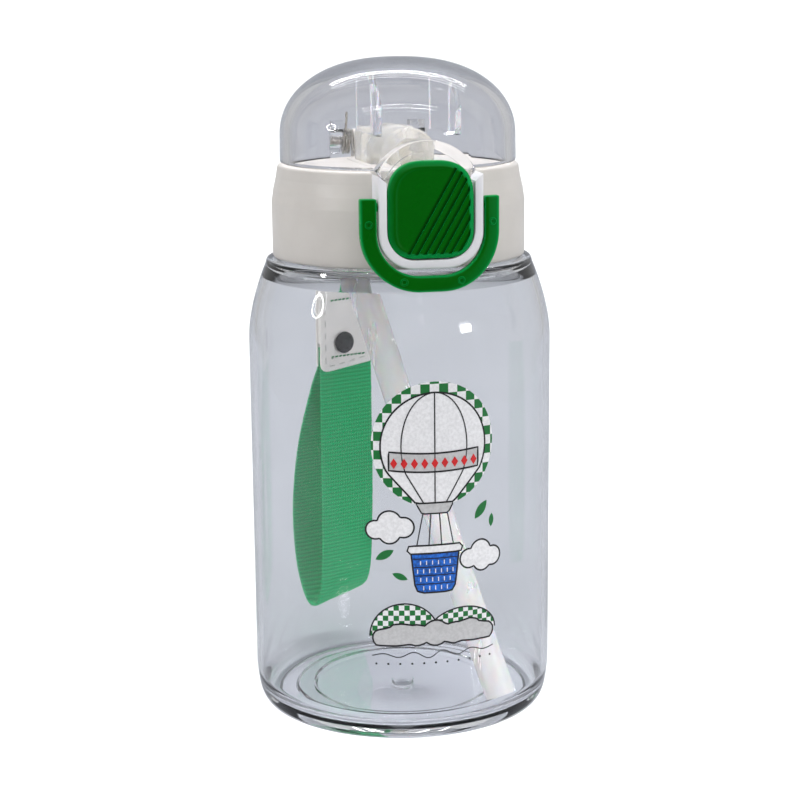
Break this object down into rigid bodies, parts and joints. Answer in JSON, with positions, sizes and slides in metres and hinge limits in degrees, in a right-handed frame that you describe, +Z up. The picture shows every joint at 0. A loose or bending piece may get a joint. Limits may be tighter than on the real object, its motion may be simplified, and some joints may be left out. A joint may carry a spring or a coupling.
{
  "type": "kids water bottle",
  "caption": "Clear plastic drinking bottle with a screw lid, hinged dome over a folding silicone spout, push button, lock bail, straw and webbing wrist strap.",
  "frame": {"origin": "centre of the base's underside, on the vessel's axis", "axes": "+Z up along the vessel's axis, -Y towards the push button, +Y towards the dome's hinge and the strap, +X to the right as seen from the button side"},
  "size_m": [0.076, 0.0984, 0.164],
  "materials": {
    "clear_body": "clear polished plastic",
    "clear_dome": "clear polished plastic",
    "white_plastic": "fine satin moulded plastic",
    "white_bezel": "fine satin moulded plastic",
    "green_plastic": "glossy moulded plastic",
    "silicone": "translucent soft silicone",
    "straw_tube": "translucent tube",
    "spring_steel": "bright wire",
    "snap_metal": "dark plated",
    "strap_leatherette": "smooth coated sheet",
    "green_webbing": "woven webbing"
  },
  "bodies": {
    "bottle": {"bottle_body": "clear_body"},
    "seal": {"lid_seal": "silicone"},
    "lid": {"inner_lid": "white_plastic", "collar": "white_plastic", "top_plate": "white_plastic", "mouthpiece_seat": "silicone", "straw_adapter": "white_plastic", "port_seal": "silicone", "straw": "straw_tube", "vent_valve": "silicone", "hinge_pin": "spring_steel", "torsion_spring": "spring_steel", "button_bezel": "white_bezel", "button_spring": "spring_steel"},
    "spout": {"mouthpiece": "silicone"},
    "dome": {"dome_cover": "clear_dome"},
    "button": {"push_button": "green_plastic", "latch_hook": "white_plastic"},
    "bail": {"lock_bail": "green_plastic"},
    "strap": {"strap_loop": "green_webbing", "strap_tab": "strap_leatherette", "strap_webbing": "green_webbing", "snap_cap": "snap_metal", "snap_socket": "snap_metal"}
  },
  "joints": [
    {"name": "lid_rise", "type": "slide", "parent": "bottle", "child": "seal", "axis": [0, 0, 1], "range_m": [0, 0.008]},
    {"name": "lid_turn", "type": "hinge", "parent": "seal", "child": "lid", "pos_m": [0, 0, 0.12], "axis": [0, 0, 1], "range_deg": [0, 450]},
    {"name": "dome_flip", "type": "hinge", "parent": "lid", "child": "dome", "pos_m": [0, 0.0305, 0.142], "axis": [-1, 0, 0], "range_deg": [0, 150], "deforming": ["torsion_spring"]},
    {"name": "mouthpiece_lift", "type": "hinge", "parent": "lid", "child": "spout", "pos_m": [0, 0.003, 0.1406], "axis": [-1, 0, 0], "range_deg": [0, 80]},
    {"name": "button_press", "type": "slide", "parent": "lid", "child": "button", "axis": [0, 1, 0], "range_m": [0, 0.0016], "stiffness_N_per_m": 400, "deforming": ["button_spring"]},
    {"name": "bail_flip", "type": "hinge", "parent": "lid", "child": "bail", "pos_m": [0, -0.0347, 0.1307], "axis": [-1, 0, 0], "range_deg": [0, 184]},
    {"name": "strap_swing", "type": "hinge", "parent": "lid", "child": "strap", "pos_m": [0, 0.0353, 0.12], "axis": [1, 0, 0], "range_deg": [0, 90]}
  ],
  "couplings": [
    {"joint": "lid_rise", "follows": "lid_turn", "m_per_rad": 0.0010186},
    {"joint": "mouthpiece_lift", "follows": "dome_flip", "ratio": 0.52}
  ]
}
